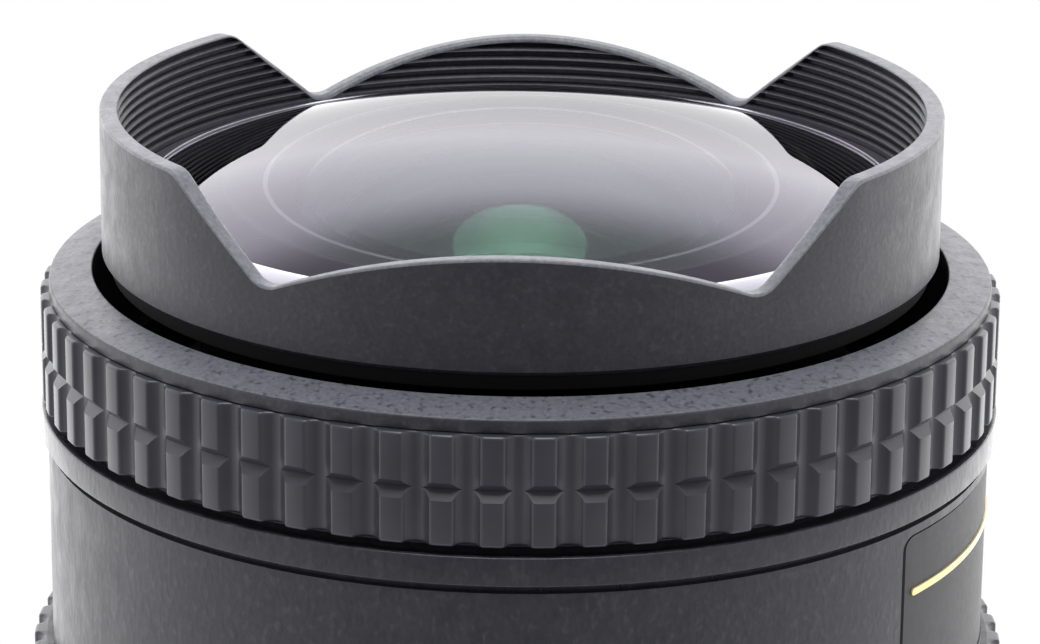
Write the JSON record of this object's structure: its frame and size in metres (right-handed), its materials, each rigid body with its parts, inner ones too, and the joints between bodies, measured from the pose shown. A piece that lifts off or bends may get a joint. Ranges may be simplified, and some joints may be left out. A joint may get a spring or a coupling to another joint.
{
  "type": "fisheye zoom lens",
  "caption": "Fisheye zoom lens with a domed front glass, petal hood, ribbed focus and zoom rings, inner sliding groups, bladed iris and a bayonet mount.",
  "frame": {"origin": "centre of the mount flange, on the optical axis", "axes": "+Z runs along the optical axis from the mount to the front glass; +X points to the plate; -Y is the side between the plate and the low petal that faces the viewer"},
  "size_m": [0.07, 0.07, 0.0761],
  "materials": {
    "black_finish": "fine speckled matte black coating",
    "inner_black": "matte black inside the lens",
    "plate": "bare dark plate",
    "grip_rubber": "moulded ribbed rubber",
    "front_glass": "polished and coated",
    "coated_glass": "polished, green and amber coatings",
    "dark_anodised": "black anodised aluminium",
    "steel": "blackened and plain steel",
    "brass": "turned brass",
    "mount_chrome": "satin chrome on brass",
    "board": "green solder mask",
    "index_white": "white bead"
  },
  "bodies": {
    "barrel": {"main_barrel": "black_finish", "front_collar": "black_finish", "name_plate": "plate", "guide_barrel": "dark_anodised", "rear_barrel": "black_finish", "bayonet_mount": "mount_chrome", "mount_screws": "steel", "rear_baffle": "inner_black", "baffle_screws": "steel", "contact_block": "inner_black", "contact_pins": "brass", "circuit_board": "board", "index_dot": "index_white", "aperture_spring": "steel"},
    "zoom_ring": {"zoom_ring": "black_finish", "zoom_rubber": "grip_rubber", "zoom_drive_pins": "steel", "cam_barrel": "dark_anodised"},
    "focus_ring": {"focus_ring": "black_finish", "focus_rubber": "grip_rubber", "focus_key": "steel"},
    "front_group": {"hood": "black_finish", "front_retainer": "dark_anodised", "front_element": "front_glass", "second_element": "coated_glass", "second_retainer": "inner_black", "front_cell": "inner_black", "front_followers": "brass"},
    "focus_sleeve": {"focus_sleeve": "inner_black"},
    "focus_group": {"focus_cell": "inner_black", "third_element": "coated_glass", "focus_doublet_front": "coated_glass", "focus_doublet_rear": "coated_glass", "focus_retainers": "dark_anodised", "focus_pins": "brass"},
    "rear_group": {"rear_cell": "inner_black", "rear_element_1": "coated_glass", "rear_doublet_front": "coated_glass", "rear_doublet_rear": "coated_glass", "rear_element_2": "coated_glass", "rear_element_3": "coated_glass", "rear_spacers": "inner_black", "rear_retainer": "inner_black", "rear_followers": "brass", "iris_base": "inner_black", "iris_cover": "inner_black"},
    "iris_ring": {"iris_ring": "steel"},
    "aperture_lever": {"aperture_lever": "steel"},
    "iris_blade_1": {"iris_blade_1": "steel"},
    "iris_blade_2": {"iris_blade_2": "steel"},
    "iris_blade_3": {"iris_blade_3": "steel"},
    "iris_blade_4": {"iris_blade_4": "steel"},
    "iris_blade_5": {"iris_blade_5": "steel"},
    "iris_blade_6": {"iris_blade_6": "steel"}
  },
  "joints": [
    {"name": "zoom_turn", "type": "hinge", "parent": "barrel", "child": "zoom_ring", "pos_m": [0, 0, 0], "axis": [0, 0, 1], "range_deg": [0, 60]},
    {"name": "focus_turn", "type": "hinge", "parent": "barrel", "child": "focus_ring", "pos_m": [0, 0, 0], "axis": [0, 0, 1], "range_deg": [0, 90]},
    {"name": "front_slide", "type": "slide", "parent": "barrel", "child": "front_group", "axis": [0, 0, 1], "range_m": [-0.0033, 0.0001]},
    {"name": "rear_slide", "type": "slide", "parent": "barrel", "child": "rear_group", "axis": [0, 0, 1], "range_m": [-0.0001, 0.0072]},
    {"name": "focus_sleeve_turn", "type": "hinge", "parent": "front_group", "child": "focus_sleeve", "pos_m": [0, 0, 0], "axis": [0, 0, 1], "range_deg": [-1, 91]},
    {"name": "focus_slide", "type": "slide", "parent": "front_group", "child": "focus_group", "axis": [0, 0, 1], "range_m": [-0.0001, 0.0023]},
    {"name": "aperture_turn", "type": "hinge", "parent": "barrel", "child": "aperture_lever", "pos_m": [0, 0, 0], "axis": [0, 0, 1], "range_deg": [0, 25], "stiffness_Nm_per_rad": 0.02, "deforming": ["aperture_spring"]},
    {"name": "iris_ring_turn", "type": "hinge", "parent": "rear_group", "child": "iris_ring", "pos_m": [0, 0, 0], "axis": [0, 0, 1], "range_deg": [-1, 26]},
    {"name": "iris_blade_1_swing", "type": "hinge", "parent": "rear_group", "child": "iris_blade_1", "pos_m": [0.0145, 0, 0.0205], "axis": [0, 0, 1], "range_deg": [-1, 29]},
    {"name": "iris_blade_2_swing", "type": "hinge", "parent": "rear_group", "child": "iris_blade_2", "pos_m": [0.00725, 0.01256, 0.0205], "axis": [0, 0, 1], "range_deg": [-1, 29]},
    {"name": "iris_blade_3_swing", "type": "hinge", "parent": "rear_group", "child": "iris_blade_3", "pos_m": [-0.00725, 0.01256, 0.0205], "axis": [0, 0, 1], "range_deg": [-1, 29]},
    {"name": "iris_blade_4_swing", "type": "hinge", "parent": "rear_group", "child": "iris_blade_4", "pos_m": [-0.0145, 0, 0.0205], "axis": [0, 0, 1], "range_deg": [-1, 29]},
    {"name": "iris_blade_5_swing", "type": "hinge", "parent": "rear_group", "child": "iris_blade_5", "pos_m": [-0.00725, -0.01256, 0.0205], "axis": [0, 0, 1], "range_deg": [-1, 29]},
    {"name": "iris_blade_6_swing", "type": "hinge", "parent": "rear_group", "child": "iris_blade_6", "pos_m": [0.00725, -0.01256, 0.0205], "axis": [0, 0, 1], "range_deg": [-1, 29]}
  ],
  "couplings": [
    {"joint": "front_slide", "follows": "zoom_turn", "m_per_rad": -0.0030558},
    {"joint": "rear_slide", "follows": "zoom_turn", "m_per_rad": 0.0066845},
    {"joint": "focus_sleeve_turn", "follows": "focus_turn", "ratio": 1},
    {"joint": "focus_slide", "follows": "focus_turn", "m_per_rad": 0.0014006},
    {"joint": "iris_ring_turn", "follows": "aperture_turn", "ratio": 1},
    {"joint": "iris_blade_1_swing", "follows": "aperture_turn", "ratio": 1.12},
    {"joint": "iris_blade_2_swing", "follows": "aperture_turn", "ratio": 1.12},
    {"joint": "iris_blade_3_swing", "follows": "aperture_turn", "ratio": 1.12},
    {"joint": "iris_blade_4_swing", "follows": "aperture_turn", "ratio": 1.12},
    {"joint": "iris_blade_5_swing", "follows": "aperture_turn", "ratio": 1.12},
    {"joint": "iris_blade_6_swing", "follows": "aperture_turn", "ratio": 1.12}
  ]
}
